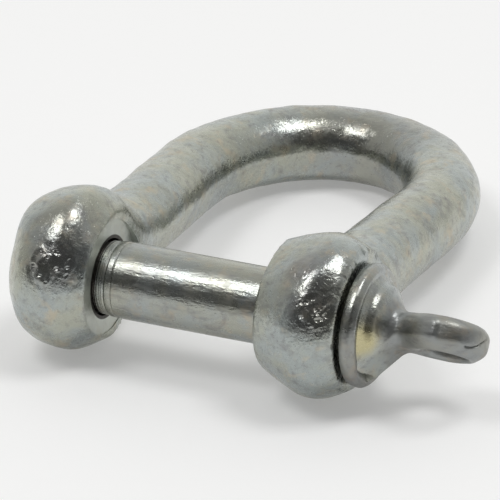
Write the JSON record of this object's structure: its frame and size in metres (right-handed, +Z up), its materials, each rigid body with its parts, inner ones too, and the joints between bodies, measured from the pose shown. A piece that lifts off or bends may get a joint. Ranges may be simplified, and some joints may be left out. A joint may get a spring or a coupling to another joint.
{
  "type": "bow shackle",
  "caption": "Forged steel bow shackle with barrel-shaped ears and a screw pin that has a collar and a flattened eye.",
  "frame": {"origin": "bottom centre of the box of the shackle lying on a surface, on its ears and the top of its bow", "axes": "+X along the pin towards its eye, +Y from the pin towards the top of the bow, +Z up from the surface"},
  "size_m": [0.0766, 0.0882, 0.0254],
  "materials": {
    "bow_zinc": "zinc-plated forging, mottled grey-green, slightly rough",
    "pin_zinc": "zinc-plated, smooth, with fine marks along the shank",
    "collar_zinc": "zinc-plated, smooth, slightly yellow"
  },
  "bodies": {
    "bow": {"bow": "bow_zinc"},
    "collar": {"pin_collar": "collar_zinc"},
    "pin": {"screw_pin": "pin_zinc"}
  },
  "joints": [
    {"name": "pin_travel", "type": "slide", "parent": "bow", "child": "collar", "axis": [1, 0, 0], "range_m": [-0.0004, 0.0595]},
    {"name": "pin_turn", "type": "hinge", "parent": "collar", "child": "pin", "pos_m": [-0.01043, -0.03139, 0.0127], "axis": [1, 0, 0], "range_deg": [-90, 12270]}
  ],
  "couplings": [
    {"joint": "pin_turn", "follows": "pin_travel", "rad_per_m": 3590.4}
  ]
}
